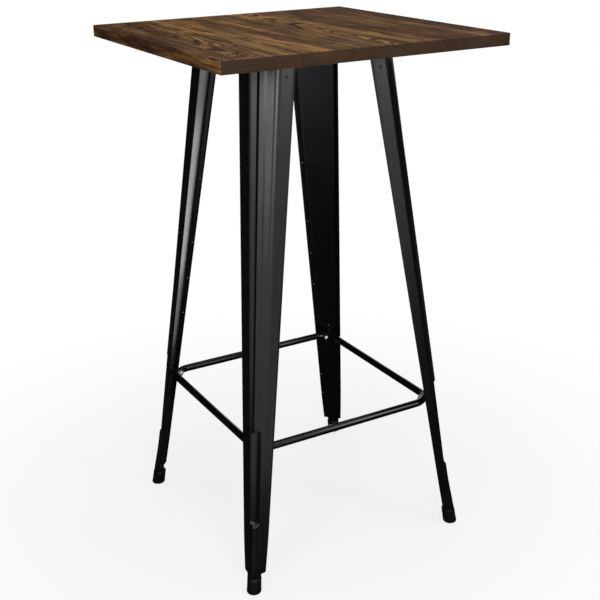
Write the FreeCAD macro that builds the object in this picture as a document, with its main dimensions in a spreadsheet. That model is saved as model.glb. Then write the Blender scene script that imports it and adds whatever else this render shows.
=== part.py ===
"""Pub table: a square board top on four splayed legs of pressed sheet steel.

The table stands on the plane z = 0 and its centre is on the Z axis. X and Y run along the sides
of the top, and the boards of the top run along Y. Each leg stands on a diagonal of the top. It
is drawn in a leg frame, where Y points outwards along that diagonal and X runs across the leg,
and is then turned about the Z axis to its corner.
"""

import FreeCAD
import Part
import Sketcher
import math
import os

V = FreeCAD.Vector

SIZES = (
    # alias, value in millimetres or pieces, what it is
    ("top_side", 600, "side of the square top"),
    ("top_thickness", 23, "thickness of the boards"),
    ("board_count", 6, "boards glued edge to edge"),
    ("top_edge_round", 2, "rounding of the top's outer edges"),
    ("table_height", 1075, "floor to the upper face of the top"),
    ("foot_span", 498, "between the centres of two neighbouring feet at the floor"),
    ("foot_setback", 6, "from the plane of the leg's lips out to the foot's centre line"),
    ("lip_radius_top", 165.9, "from the table's axis to the lip plane at the leg's top"),
    ("shell_wall", 1.5, "sheet thickness of the leg shell"),
    ("shell_end_height", 33, "height of the lower end of the shell's nose"),
    ("shin_height", 110, "height above which the leg widens evenly"),
    ("top_half_width", 55.3, "leg top: half the width between the lips"),
    ("top_shoulder_across", 30.2, "leg top: shoulder corner, across the leg"),
    ("top_shoulder_out", 28.5, "leg top: shoulder corner, outwards from the lips"),
    ("top_rib_across", 9.5, "leg top: foot of the rib, across the leg"),
    ("top_rib_out", 28.4, "leg top: foot of the rib, outwards from the lips"),
    ("top_crest_across", 4.6, "leg top: half the flat of the rib's crest"),
    ("top_crest_out", 31, "leg top: crest of the rib, outwards from the lips"),
    ("top_shoulder_bend", 24, "leg top: bend radius of the shoulder"),
    ("shin_half_width", 25.7, "shin: half the width between the lips"),
    ("shin_shoulder_across", 12, "shin: shoulder corner, across the leg"),
    ("shin_shoulder_out", 9.1, "shin: shoulder corner, outwards"),
    ("shin_rib_across", 6.8, "shin: foot of the rib, across the leg"),
    ("shin_rib_out", 12.4, "shin: foot of the rib, outwards"),
    ("shin_crest_across", 3, "shin: half the flat of the rib's crest"),
    ("shin_crest_out", 16.4, "shin: crest of the rib, outwards"),
    ("shin_shoulder_bend", 10, "shin: bend radius of the shoulder"),
    ("end_half_width", 21.6, "leg end: half the width between the lips"),
    ("end_shoulder_across", 12.5, "leg end: shoulder corner, across the leg"),
    ("end_shoulder_out", 11, "leg end: shoulder corner, outwards"),
    ("end_rib_across", 8, "leg end: foot of the rib, across the leg"),
    ("end_rib_out", 15.4, "leg end: foot of the rib, outwards"),
    ("end_crest_across", 3.6, "leg end: half the flat of the rib's crest"),
    ("end_crest_out", 19.6, "leg end: crest of the rib, outwards"),
    ("end_shoulder_bend", 8, "leg end: bend radius of the shoulder"),
    ("upper_spans", 4, "even spans of the leg between its recess and its top"),
    ("wing_height", 42, "height of the shell's lower edge beside the nose"),
    ("nose_half_width", 14, "half the width of the tongue that runs down over the foot"),
    ("wing_round", 3, "rounding of the corners of the shell's lower edge"),
    ("back_wall", 1.2, "sheet thickness of the back plate"),
    ("back_depth_top", 9, "back plate behind the lips, at the leg's top"),
    ("back_depth_step", 7, "back plate behind the lips, where it starts to run out"),
    ("back_depth_shin", 1.4, "back plate behind the lips, below the run-out"),
    ("back_bend", 3.5, "bend radius between the back plate and its weld flanges"),
    ("recess_top", 345, "height of the upper end of the corner recess"),
    ("recess_bottom", 142, "height of the lower end of the corner recess"),
    ("recess_width", 22, "width of the corner recess"),
    ("recess_depth", 3.6, "depth of the recess below its rim"),
    ("recess_floor", 1.2, "width of the flat at the bottom of the recess"),
    ("recess_hole", 4, "hanging hole in the recess"),
    ("recess_hole_height", 152, "height of the hanging hole"),
    ("bracket_wall", 3, "thickness of the leg top bracket"),
    ("bracket_reach", 32, "how far the bracket reaches inwards past the lips"),
    ("bracket_width", 84, "width of the bracket's inner part"),
    ("tab_wall", 2, "thickness of the bracket's side tabs"),
    ("tab_length", 64, "length of the side tabs down the leg"),
    ("tab_width", 7.5, "width of the side tabs, measured outwards from the lips"),
    ("tab_gap", 1, "between the side tabs and the back plate"),
    ("screw_diameter", 5, "shank of the top screws"),
    ("screw_head", 9.5, "head of the top screws"),
    ("screw_head_height", 2.6, "height of the screw heads"),
    ("screw_depth", 16, "how far the screws go into the boards"),
    ("screw_inner_reach", 22, "inner screws, inwards from the lips"),
    ("screw_inner_spacing", 52, "between the two inner screws"),
    ("screw_outer_reach", 7, "outer screws, inwards from the lips"),
    ("screw_outer_spacing", 30, "between the two outer screws"),
    ("ring_height", 299, "height of the footrest's centre line"),
    ("ring_bend", 41, "bend radius of the footrest's corners, at the centre line"),
    ("ring_diameter", 16, "diameter of the footrest rod"),
    ("boss_diameter", 11, "diameter of the threaded boss behind the footrest"),
    ("boss_length", 10, "length of that boss, from the back plate to the rod"),
    ("bolt_diameter", 6, "shank of the footrest bolts"),
    ("bolt_head", 11.5, "head of the footrest bolts"),
    ("bolt_head_height", 3.4, "height of the bolt heads"),
    ("bolt_end_gap", 1, "between the end of a footrest bolt and the back plate"),
    ("end_plate_wall", 4, "thickness of the threaded plate in the leg's end"),
    ("foot_diameter", 29, "diameter of the foot"),
    ("foot_base", 30, "diameter of the foot's base, above its bevel"),
    ("foot_edge_bevel", 3, "bevel of the foot's lower edge"),
    ("foot_neck", 19, "diameter of the neck inside the leg"),
    ("stud_diameter", 6, "shank of the foot stud"),
    ("stud_head", 18, "head of the foot stud, inside the foot"),
    ("stud_head_height", 3, "thickness of that head"),
    ("stud_head_base", 9, "height of that head above the floor"),
    ("stud_above_plate", 6, "how far the stud stands above the end plate"),
)

# Corner names and the turn, in degrees, that takes the leg frame to each corner.
CORNERS = (("front_left", 135), ("front_right", 225), ("back_right", 315), ("back_left", 45))

# Expressions that several pieces share.
LEG_TOP = "(Sizes.table_height - Sizes.top_thickness)"
FOOT_RADIUS = "(Sizes.foot_span / sqrt(2))"
LEG_RUN = "(%s - Sizes.foot_setback - Sizes.lip_radius_top)" % FOOT_RADIUS
LEAN = "atan(%s / %s)" % (LEG_RUN, LEG_TOP)
ROD_RADIUS = "(Sizes.ring_diameter / 2)"
BOSS_REACH = "(Sizes.boss_length + %s)" % ROD_RADIUS
RUN_OUT = "((Sizes.back_depth_step - Sizes.back_depth_shin) / (Sizes.recess_top - Sizes.recess_bottom))"
BOLT_RISE = "atan(%s / %s - %s)" % (LEG_RUN, LEG_TOP, RUN_OUT)
RING_LIPS = "(%s - Sizes.foot_setback - %s / %s * Sizes.ring_height)" % (FOOT_RADIUS, LEG_RUN, LEG_TOP)
PLATE_RADIUS = ("(%s + Sizes.back_depth_shin + %s * (Sizes.ring_height - Sizes.recess_bottom))"
                % (RING_LIPS, RUN_OUT))
RING_CORNER = "(%s - %s / cos(%s))" % (PLATE_RADIUS, BOSS_REACH, BOLT_RISE)
RING_SPAN = "(sqrt(2) * %s + (2 - sqrt(2)) * Sizes.ring_bend)" % RING_CORNER
RING_STRAIGHT = "(%s - 2 * Sizes.ring_bend)" % RING_SPAN

doc = FreeCAD.newDocument("pub_table")
sheet = doc.addObject("Spreadsheet::Sheet", "Sizes")
for row, (alias, value, meaning) in enumerate(SIZES, start=1):
    sheet.set("A%d" % row, meaning)
    sheet.set("B%d" % row, str(value))
    sheet.setAlias("B%d" % row, alias)
doc.recompute()

sub_parts = []


def size(alias):
    """The value of one cell of the sheet."""
    return float(getattr(sheet, alias))


def made(kind, name, links=None, axis=None, rotation=None, **expressions):
    """Add an object whose properties, and place as X, Y and Z, follow expressions of the sheet.

    With axis given, the caller binds the angle that the object turns about it.
    """
    thing = doc.addObject(kind, name)
    for link, target in (links or {}).items():
        setattr(thing, link, target)
    if axis:
        rotation = FreeCAD.Rotation(axis, 1)
    if rotation:
        thing.Placement = FreeCAD.Placement(V(0, 0, 0), rotation)
    paths = {"X": "Placement.Base.x", "Y": "Placement.Base.y", "Z": "Placement.Base.z"}
    for prop, expression in expressions.items():
        thing.setExpression(paths.get(prop, prop), expression)
    return thing


def shaped(name, shape):
    """Add an object with a shape of its own."""
    thing = doc.addObject("Part::Feature", name)
    thing.Shape = shape
    return thing


def cut(name, base, tool):
    """The base less the tool."""
    return made("Part::Cut", name, {"Base": base, "Tool": tool})


def common(name, base, tool):
    """What two objects share."""
    return made("Part::Common", name, {"Base": base, "Tool": tool})


def joined(name, *things):
    """Several objects as one solid."""
    return made("Part::MultiFuse", name, {"Shapes": list(things), "Refine": True})


def finish(thing, label, turn=0):
    """Turn a piece from the leg frame to its corner and list it as a sub-part."""
    thing.Label = label
    thing.Placement = FreeCAD.Placement(V(0, 0, 0), FreeCAD.Rotation(V(0, 0, 1), turn))
    sub_parts.append(thing)
    return thing


# ---------------------------------------------------------------- sections of the leg

leg_top = size("table_height") - size("top_thickness")
lip_radius_floor = size("foot_span") / math.sqrt(2) - size("foot_setback")
MARKS = (("end", size("shell_end_height")), ("shin", size("shin_height")), ("top", leg_top))


def lip_radius(height):
    """Distance of the lip plane from the table's axis."""
    return lip_radius_floor + (size("lip_radius_top") - lip_radius_floor) * height / leg_top


def between(low, high, share):
    """What lies a share of the way from one value to another."""
    return low + (high - low) * share


def blend(low, high, share):
    """The same for a list of points or of numbers."""
    if isinstance(low, (list, tuple)):
        return [blend(one, other, share) for one, other in zip(low, high)]
    return between(low, high, share)


def half_outline(mark):
    """Half of the shell's outer face at a named height: lip, shoulder, foot and crest of the rib."""
    points = [(size(mark + "_half_width"), 0)]
    for corner in ("shoulder", "rib", "crest"):
        points.append((size("%s_%s_across" % (mark, corner)), size("%s_%s_out" % (mark, corner))))
    return points, size(mark + "_shoulder_bend")


def recess_share(height):
    """How far the recess has opened at a height: 0 outside it, 1 between its round ends."""
    radius = size("recess_width") / 2
    run = min(height - size("recess_bottom"), size("recess_top") - height, radius)
    return math.sqrt(radius ** 2 - (radius - run) ** 2) / radius if run > 0 else 0


def outline(height):
    """The corners of the shell's outer face at a height, lip to lip, and the bend at each.

    Only the shoulders are rounded: the rib and the recess are pressed with tight folds.
    """
    upper = 1 if height <= MARKS[1][1] else 2
    (low, low_height), (high, high_height) = MARKS[upper - 1:upper + 1]
    share = (height - low_height) / (high_height - low_height)
    points, shoulder_bend = blend(half_outline(low), half_outline(high), share)
    opened = recess_share(height)
    if opened:
        shoulder, rib = points[1:3]
        rim = between(rib[0], size("recess_width") / 2, opened)
        rim_out = between(shoulder[1], rib[1], (shoulder[0] - rim) / (shoulder[0] - rib[0]))
        floor_out = between(points[3][1], rim_out - size("recess_depth"), opened)
        points[2:] = [(rim, rim_out), (between(points[3][0], size("recess_floor") / 2, opened), floor_out)]
    corners = [tuple(point) for point in points] + [(-across, out) for across, out in reversed(points)]
    return corners, [shoulder_bend, 0, 0, 0, 0, shoulder_bend]


def levels():
    """The heights at which the leg's sections are cut, from its lower end to its top."""
    bottom, top, radius = size("recess_bottom"), size("recess_top"), size("recess_width") / 2
    heights = [MARKS[0][1], size("wing_height") + size("end_plate_wall"), MARKS[1][1]]
    heights += [bottom, bottom + radius, between(bottom, top, 0.5), top - radius, top]
    spans = int(size("upper_spans"))
    shoulder = leg_top - size("bracket_wall")
    heights += [between(top, shoulder, step / spans) for step in range(1, spans + 1)]
    return heights + [leg_top]


def unit(start, end):
    """Direction from one point to another."""
    length = math.dist(start, end)
    return ((end[0] - start[0]) / length, (end[1] - start[1]) / length)


def inset_path(corners, bends, inset):
    """Move every side of a path to its left, the inside of its bends; the ends stay on the lip plane."""
    sides = []
    for start, end in zip(corners, corners[1:]):
        along = unit(start, end)
        sides.append(((start[0] - along[1] * inset, start[1] + along[0] * inset), along))
    moved, moved_bends = [on_lip_plane(*sides[0])], []
    for (start, along), (after, onward), bend in zip(sides, sides[1:], bends):
        turn = along[0] * onward[1] - along[1] * onward[0]
        reach = ((after[0] - start[0]) * onward[1] - (after[1] - start[1]) * onward[0]) / turn
        moved.append((start[0] + along[0] * reach, start[1] + along[1] * reach))
        moved_bends.append(max(bend - inset, 0))
    return moved + [on_lip_plane(*sides[-1])], moved_bends


def on_lip_plane(point, along):
    """Where a side meets the lip plane."""
    return (point[0] - along[0] * point[1] / along[1], 0)


def bend_points(before, corner, after, bend):
    """Where the bend at a corner starts, its middle, and where it ends."""
    inward, outward = unit(before, corner), unit(corner, after)
    half_turn = math.acos(max(-1, min(1, inward[0] * outward[0] + inward[1] * outward[1]))) / 2
    room = 0.45 * min(math.dist(before, corner), math.dist(corner, after))
    reach = min(bend * math.tan(half_turn), room)
    radius = reach / math.tan(half_turn)
    middle = unit((0, 0), (outward[0] - inward[0], outward[1] - inward[1]))
    drop = radius / math.cos(half_turn) - radius
    return ((corner[0] - inward[0] * reach, corner[1] - inward[1] * reach),
            (corner[0] + middle[0] * drop, corner[1] + middle[1] * drop),
            (corner[0] + outward[0] * reach, corner[1] + outward[1] * reach))


def section(corners, bends, height):
    """A closed wire at a height: a path with round corners, closed along the lip plane."""
    out = lip_radius(height)

    def place(point):
        return V(point[0], point[1] + out, height)

    edges = []
    here = corners[0]
    for before, corner, after, bend in zip(corners, corners[1:], corners[2:], bends):
        start, middle, end = bend_points(before, corner, after, bend)
        edges.append(Part.LineSegment(place(here), place(start)).toShape())
        if bend:
            edges.append(Part.Arc(place(start), place(middle), place(end)).toShape())
        here = end
    edges.append(Part.LineSegment(place(here), place(corners[-1])).toShape())
    edges.append(Part.LineSegment(place(corners[-1]), place(corners[0])).toShape())
    return Part.Wire(edges)


def leg_core(inset):
    """Everything inside the shell's outer face moved inwards by inset, as one solid."""
    wires = [section(*inset_path(*outline(height), inset), height) for height in levels()]
    return Part.makeLoft(wires, True, True)


def inner_wall(height):
    """The flat inner side of the shell at a level: its lip, and where its shoulder bend starts."""
    corners, bends = inset_path(*outline(height), size("shell_wall"))
    return corners[0], bend_points(*corners[:3], bends[0])[0]


def block(half_across, inner, outer, low, high):
    """A block that leans with the leg; inner and outer are measured from the lip plane."""
    wires = []
    for height in (low, high):
        near, far = lip_radius(height) + inner, lip_radius(height) + outer
        corners = [V(-half_across, near, height), V(half_across, near, height),
                   V(half_across, far, height), V(-half_across, far, height)]
        wires.append(Part.makePolygon(corners + corners[:1]))
    return Part.makeLoft(wires, True, True)


# ---------------------------------------------------------------- leg shell

def wing_trim(side):
    """What is cut from the shell's lower end on one side of the tongue that covers the foot."""
    wing, low = size("wing_height"), size("shell_end_height") - 1
    tongue, lip = size("nose_half_width"), size("end_half_width")
    bend = min(size("wing_round"), 0.45 * (lip - tongue))
    far, near = lip + bend, bend * (1 - math.sqrt(0.5))
    path = [(tongue, low), (tongue, wing - bend), (tongue + near, wing - near), (tongue + bend, wing),
            (lip - bend, wing), (lip - near, wing + near), (lip, wing + bend), (far, wing + bend), (far, low)]
    depth = 2 * size("end_crest_out")
    points = [V(side * across, lip_radius(wing) - depth / 2, height) for across, height in path]
    edges = [Part.LineSegment(points[0], points[1]).toShape(),
             Part.Arc(points[1], points[2], points[3]).toShape(),
             Part.LineSegment(points[3], points[4]).toShape(),
             Part.Arc(points[4], points[5], points[6]).toShape(),
             Part.LineSegment(points[6], points[7]).toShape(),
             Part.LineSegment(points[7], points[8]).toShape(),
             Part.LineSegment(points[8], points[0]).toShape()]
    return Part.Face(Part.Wire(edges)).extrude(V(0, 2 * depth, 0))


def leg_shell():
    """The pressed shell: sheet steel with a rib down its corner and a recess near its foot."""
    shell = leg_core(0).cut(leg_core(size("shell_wall")))
    height = size("recess_hole_height")
    hole = Part.makeCylinder(size("recess_hole") / 2, 2 * size("top_crest_out"),
                             V(0, lip_radius(height), height), V(0, 1, 0))
    return shell.cut([wing_trim(1), wing_trim(-1), hole])


# ---------------------------------------------------------------- leg back plate

def back_depth(height):
    """How far the back plate lies behind the lips: it runs out to them along the recess."""
    low, step, high = size("back_depth_shin"), size("back_depth_step"), size("back_depth_top")
    bottom, top = size("recess_bottom"), size("recess_top")
    if height > top:
        return between(step, high, (height - top) / (leg_top - top))
    return between(low, step, max(height - bottom, 0) / (top - bottom))


def back_plate():
    """A shallow channel between the lips, whose flanges lie on the inner sides of the shell."""
    wall = size("back_wall")
    bends = [size("back_bend") + wall] * 2
    outer, inner = [], []
    for height in levels()[1:-1]:
        lip, shoulder = inner_wall(height)
        share = (back_depth(height) + wall) / shoulder[1]
        corner = (between(lip[0], shoulder[0], share), shoulder[1] * share)
        path = [lip, corner, (-corner[0], corner[1]), (-lip[0], lip[1])]
        outer.append(section(path, bends, height))
        inner.append(section(*inset_path(path, bends, wall), height))
    return Part.makeLoft(outer, True, True).cut(Part.makeLoft(inner, True, True))


# ---------------------------------------------------------------- pieces of the leg's ends

def top_bracket(inner_core):
    """A plate across the leg's top with two tabs down the inner sides of the shell."""
    wall, reach = size("bracket_wall"), size("bracket_reach")
    wide = size("top_half_width") * 2
    plate = inner_core.common(block(wide, 0, wide, leg_top - wall, leg_top))
    tongue = block(size("bracket_width") / 2, -reach, size("back_depth_top"), leg_top - wall, leg_top)
    tab_start = size("back_depth_top") + size("back_wall") + size("tab_gap")
    tabs = inner_core.cut(leg_core(size("shell_wall") + size("tab_wall")))
    tabs = tabs.common(block(wide, tab_start, tab_start + size("tab_width"),
                             leg_top - wall - size("tab_length"), leg_top))
    return plate.fuse([tongue, tabs]).removeSplitter()


def end_plate(inner_core):
    """A thick plate that fills the leg just above its lower edge."""
    low, wide = size("wing_height"), size("end_half_width") * 2
    return inner_core.common(block(wide, 0, wide, low, low + size("end_plate_wall")))


# ---------------------------------------------------------------- the top

def board_blank():
    """The whole top as one slab with its outer edges rounded; the boards are cut from it."""
    body = doc.addObject("PartDesign::Body", "top_blank")
    plane = next(item for item in body.Origin.OriginFeatures if item.Role == "XY_Plane")
    outline = body.newObject("Sketcher::SketchObject", "top_outline")
    outline.AttachmentSupport = [(plane, "")]
    outline.MapMode = "FlatFace"
    half = size("top_side") / 2
    corners = [V(-half, -half, 0), V(half, -half, 0), V(half, half, 0), V(-half, half, 0)]
    for start, end in zip(corners, corners[1:] + corners[:1]):
        outline.addGeometry(Part.LineSegment(start, end), False)
    for line in range(4):
        outline.addConstraint(Sketcher.Constraint("Coincident", line, 2, (line + 1) % 4, 1))
    for line in (0, 2):
        outline.addConstraint(Sketcher.Constraint("Horizontal", line))
        outline.addConstraint(Sketcher.Constraint("Vertical", line + 1))
    outline.addConstraint(Sketcher.Constraint("Symmetric", 0, 1, 1, 2, -1, 1))
    for line, kind in ((0, "DistanceX"), (1, "DistanceY")):
        index = outline.addConstraint(Sketcher.Constraint(kind, line, 1, line, 2, 2 * half))
        outline.setExpression("Constraints[%d]" % index, "Sizes.top_side")
    pad = body.newObject("PartDesign::Pad", "top_pad")
    pad.Profile = outline
    pad.setExpression("Length", "Sizes.top_thickness")
    doc.recompute()
    outer_edges = [name for name, edge in edges_of(pad) if edge.BoundBox.ZMax > size("top_thickness") / 2]
    rounding = body.newObject("PartDesign::Fillet", "top_rounding")
    rounding.Base = (pad, outer_edges)
    rounding.setExpression("Radius", "Sizes.top_edge_round")
    body.setExpression("Placement.Base.z", LEG_TOP)
    return body


def edges_of(thing):
    """The edges of an object with their names."""
    return [("Edge%d" % number, edge) for number, edge in enumerate(thing.Shape.Edges, start=1)]


def top_board(number, blank, screws):
    """One board: its strip of the top, less the holes of the screws that go into it."""
    width = "Sizes.top_side / Sizes.board_count"
    strip = made("Part::Box", "strip_%d" % number, Length=width, Width="Sizes.top_side",
                 Height="Sizes.top_thickness", Z=LEG_TOP, Y="-Sizes.top_side / 2",
                 X="-Sizes.top_side / 2 + %d * %s" % (number - 1, width))
    board = common("board_%d" % number, blank, strip)
    return finish(cut("drilled_board_%d" % number, board, screws), "top_board_%d" % number)


def top_screws(corner):
    """The four screws that hold a bracket to the boards, in the leg frame."""
    spots = (("inner", -1), ("inner", 1), ("outer", -1), ("outer", 1))
    screws = []
    for number, (row, side) in enumerate(spots, start=1):
        place = {"X": "%d * Sizes.screw_%s_spacing / 2" % (side, row),
                 "Y": "Sizes.lip_radius_top - Sizes.screw_%s_reach" % row}
        name = "%s_%d" % (corner, number)
        seat = "%s - Sizes.bracket_wall" % LEG_TOP
        shank = made("Part::Cylinder", "screw_shank_" + name, Radius="Sizes.screw_diameter / 2",
                     Height="Sizes.screw_depth + Sizes.bracket_wall", Z=seat, **place)
        head = made("Part::Cylinder", "screw_head_" + name, Radius="Sizes.screw_head / 2",
                    Height="Sizes.screw_head_height", Z="%s - Sizes.screw_head_height" % seat, **place)
        screws.append(joined("screw_" + name, shank, head))
    return made("Part::Compound", "screws_" + corner, {"Links": screws})


# ---------------------------------------------------------------- the footrest

def rod_blank():
    """The closed ring of round rod, not yet drilled: four rails and four bends."""
    pieces = []
    for number, (right, ahead) in enumerate(((1, 0), (0, 1), (-1, 0), (0, -1)), start=1):
        turn = 90 * (number - 1)
        upright = FreeCAD.Rotation(V(0, 0, 1), turn) * FreeCAD.Rotation(V(1, 0, 0), -90)
        start = "(-%s / 2)" % RING_STRAIGHT
        rail = made("Part::Cylinder", "rail_%d" % number, rotation=upright, Radius=ROD_RADIUS,
                    Height=RING_STRAIGHT, Z="Sizes.ring_height",
                    X="%d * %s / 2 - %d * %s" % (right, RING_SPAN, ahead, start),
                    Y="%d * %s / 2 + %d * %s" % (ahead, RING_SPAN, right, start))
        bend = made("Part::Torus", "bend_%d" % number, rotation=FreeCAD.Rotation(V(0, 0, 1), turn),
                    Radius1="Sizes.ring_bend", Radius2=ROD_RADIUS, Angle3="90", Z="Sizes.ring_height",
                    X="%d * %s / 2" % (right - ahead, RING_STRAIGHT),
                    Y="%d * %s / 2" % (right + ahead, RING_STRAIGHT))
        pieces += [rail, bend]
    return joined("rod_blank", *pieces)


def on_bolt_axis(kind, name, start, **expressions):
    """A primitive on the axis of a footrest bolt, start outwards from the rod's centre line."""
    thing = made(kind, name, axis=V(1, 0, 0), **expressions)
    thing.setExpression("Placement.Rotation.Angle", "%s - 90 deg" % BOLT_RISE)
    thing.setExpression("Placement.Base.y", "%s + (%s) * cos(%s)" % (RING_CORNER, start, BOLT_RISE))
    thing.setExpression("Placement.Base.z", "Sizes.ring_height + (%s) * sin(%s)" % (start, BOLT_RISE))
    return thing


def bolt_shank(corner):
    """The shank of a footrest bolt: from within its head, through the rod and into the boss."""
    start = "-%s - Sizes.bolt_head_height / 2" % ROD_RADIUS
    return on_bolt_axis("Part::Cylinder", "bolt_shank_" + corner, start,
                        Radius="Sizes.bolt_diameter / 2",
                        Height="%s - Sizes.bolt_end_gap - (%s)" % (BOSS_REACH, start))


def bolt_head(corner, rod):
    """The head of a footrest bolt, hollowed to sit on the round rod."""
    blank = on_bolt_axis("Part::Cylinder", "bolt_head_blank_" + corner,
                         "-%s - Sizes.bolt_head_height" % ROD_RADIUS, Radius="Sizes.bolt_head / 2",
                         Height="Sizes.bolt_head_height + %s" % ROD_RADIUS)
    return cut("bolt_head_" + corner, blank, rod)


def boss(corner, rod, shank):
    """The threaded boss between the rod and the back plate, square on the plate."""
    blank = on_bolt_axis("Part::Cylinder", "boss_blank_" + corner, "0", Radius="Sizes.boss_diameter / 2",
                         Height=BOSS_REACH)
    return cut("boss_drilled_" + corner, cut("boss_seat_" + corner, blank, rod), shank)


# ---------------------------------------------------------------- the feet

def leaning(kind, name, height, **expressions):
    """A primitive on the foot's axis, which leans with the leg; height is above the floor."""
    thing = made(kind, name, axis=V(1, 0, 0), **expressions)
    thing.setExpression("Placement.Rotation.Angle", LEAN)
    thing.setExpression("Placement.Base.y", "%s - (%s) * tan(%s)" % (FOOT_RADIUS, height, LEAN))
    thing.setExpression("Placement.Base.z", height)
    return thing


def foot_stud(corner):
    """The steel stud of a foot: a round head moulded into the rubber and a threaded shank."""
    top = "Sizes.wing_height + Sizes.end_plate_wall + Sizes.stud_above_plate"
    shank = leaning("Part::Cylinder", "stud_shank_" + corner, "Sizes.stud_head_base",
                    Radius="Sizes.stud_diameter / 2",
                    Height="(%s - Sizes.stud_head_base) / cos(%s)" % (top, LEAN))
    head = leaning("Part::Cylinder", "stud_head_" + corner, "Sizes.stud_head_base",
                   Radius="Sizes.stud_head / 2", Height="Sizes.stud_head_height")
    return joined("stud_" + corner, shank, head)


def leaning_rod(name, low, high, diameter):
    """A rod on the foot's axis, cut level at its two ends."""
    rod = leaning("Part::Cylinder", name + "_rod", "%s - %s" % (low, diameter),
                  Radius="%s / 2" % diameter, Height="%s - %s + 2 * %s" % (high, low, diameter))
    layer = made("Part::Box", name + "_layer", Length="4 * %s" % diameter, Width="4 * %s" % diameter,
                 Height="%s - %s" % (high, low), X="-2 * %s" % diameter,
                 Y="%s - 2 * %s" % (FOOT_RADIUS, diameter), Z=low)
    return common(name, rod, layer)


def rubber_foot(corner, stud):
    """The rubber foot: a leaning body on a bevelled base, flat on the floor, with a neck in the leg."""
    edge, end = "Sizes.foot_edge_bevel", "Sizes.shell_end_height"
    base = made("Part::Cone", "foot_base_" + corner, Radius1="Sizes.foot_base / 2 - %s" % edge,
                Radius2="Sizes.foot_base / 2", Height=edge,
                Y="%s - %s * tan(%s)" % (FOOT_RADIUS, edge, LEAN))
    body = leaning_rod("foot_body_" + corner, edge, end, "Sizes.foot_diameter")
    neck = leaning_rod("foot_neck_" + corner, end, "Sizes.wing_height", "Sizes.foot_neck")
    return cut("foot_bored_" + corner, joined("foot_solid_" + corner, base, body, neck), stud)


# ---------------------------------------------------------------- assembly

def build():
    """Make every sub-part."""
    rod = rod_blank()
    rod_at_leg = made("Part::Compound", "rod_at_leg", {"Links": [rod]},
                      rotation=FreeCAD.Rotation(V(0, 0, 1), 45))
    shell, back = leg_shell(), back_plate()
    inner_core = leg_core(size("shell_wall"))
    bracket, plate = top_bracket(inner_core), end_plate(inner_core)
    screws, shanks = [], []
    for corner, turn in CORNERS:
        finish(shaped("leg_shell_" + corner, shell), "leg_shell_" + corner, turn)
        finish(shaped("leg_back_" + corner, back), "leg_back_plate_" + corner, turn)
        group = finish(top_screws(corner), "top_screws_" + corner, turn)
        screws.append(group)
        bracket_blank = shaped("bracket_blank_" + corner, bracket)
        drill = made("Part::Compound", "bracket_drill_" + corner, {"Links": group.Links})
        finish(cut("bracket_" + corner, bracket_blank, drill), "leg_top_bracket_" + corner, turn)

        shank = bolt_shank(corner)
        bolt = joined("bolt_" + corner, shank, bolt_head(corner, rod_at_leg))
        finish(bolt, "footrest_bolt_" + corner, turn)
        finish(boss(corner, rod_at_leg, shank), "footrest_boss_" + corner, turn)
        placed = made("Part::Compound", "bolt_hole_" + corner, {"Links": [shank]})
        placed.Placement = FreeCAD.Placement(V(0, 0, 0), FreeCAD.Rotation(V(0, 0, 1), turn))
        shanks.append(placed)

        stud = foot_stud(corner)
        plate_blank = shaped("end_plate_blank_" + corner, plate)
        finish(cut("end_plate_" + corner, plate_blank, stud), "leg_end_plate_" + corner, turn)
        finish(rubber_foot(corner, stud), "foot_" + corner, turn)
        finish(made("Part::Compound", "stud_piece_" + corner, {"Links": [stud]}), "foot_stud_" + corner, turn)

    holes = made("Part::Compound", "footrest_holes", {"Links": shanks})
    finish(cut("footrest_drilled", rod, holes), "footrest_ring")
    blank = board_blank()
    all_screws = made("Part::Compound", "all_screws", {"Links": screws})
    for number in range(1, int(size("board_count")) + 1):
        top_board(number, blank, all_screws)


def check():
    """Stop if any object failed or any sub-part has no sound solid."""
    doc.recompute()
    for thing in doc.Objects:
        if "Invalid" in thing.State or "Error" in thing.State:
            raise RuntimeError("%s failed: %s" % (thing.Name, thing.State))
    for thing in sub_parts:
        if thing.Shape.isNull() or not thing.Shape.isValid() or not thing.Shape.Solids:
            raise RuntimeError("%s has no valid solid" % thing.Label)


def export():
    """Write one STEP file for each sub-part."""
    os.makedirs("parts", exist_ok=True)
    for thing in sub_parts:
        thing.Shape.exportStep("parts/%s.step" % thing.Label)


build()
check()
export()
print("%d sub-parts" % len(sub_parts))
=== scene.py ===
import functools
import math

import bmesh
import bpy
from mathutils import Matrix, Vector


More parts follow.
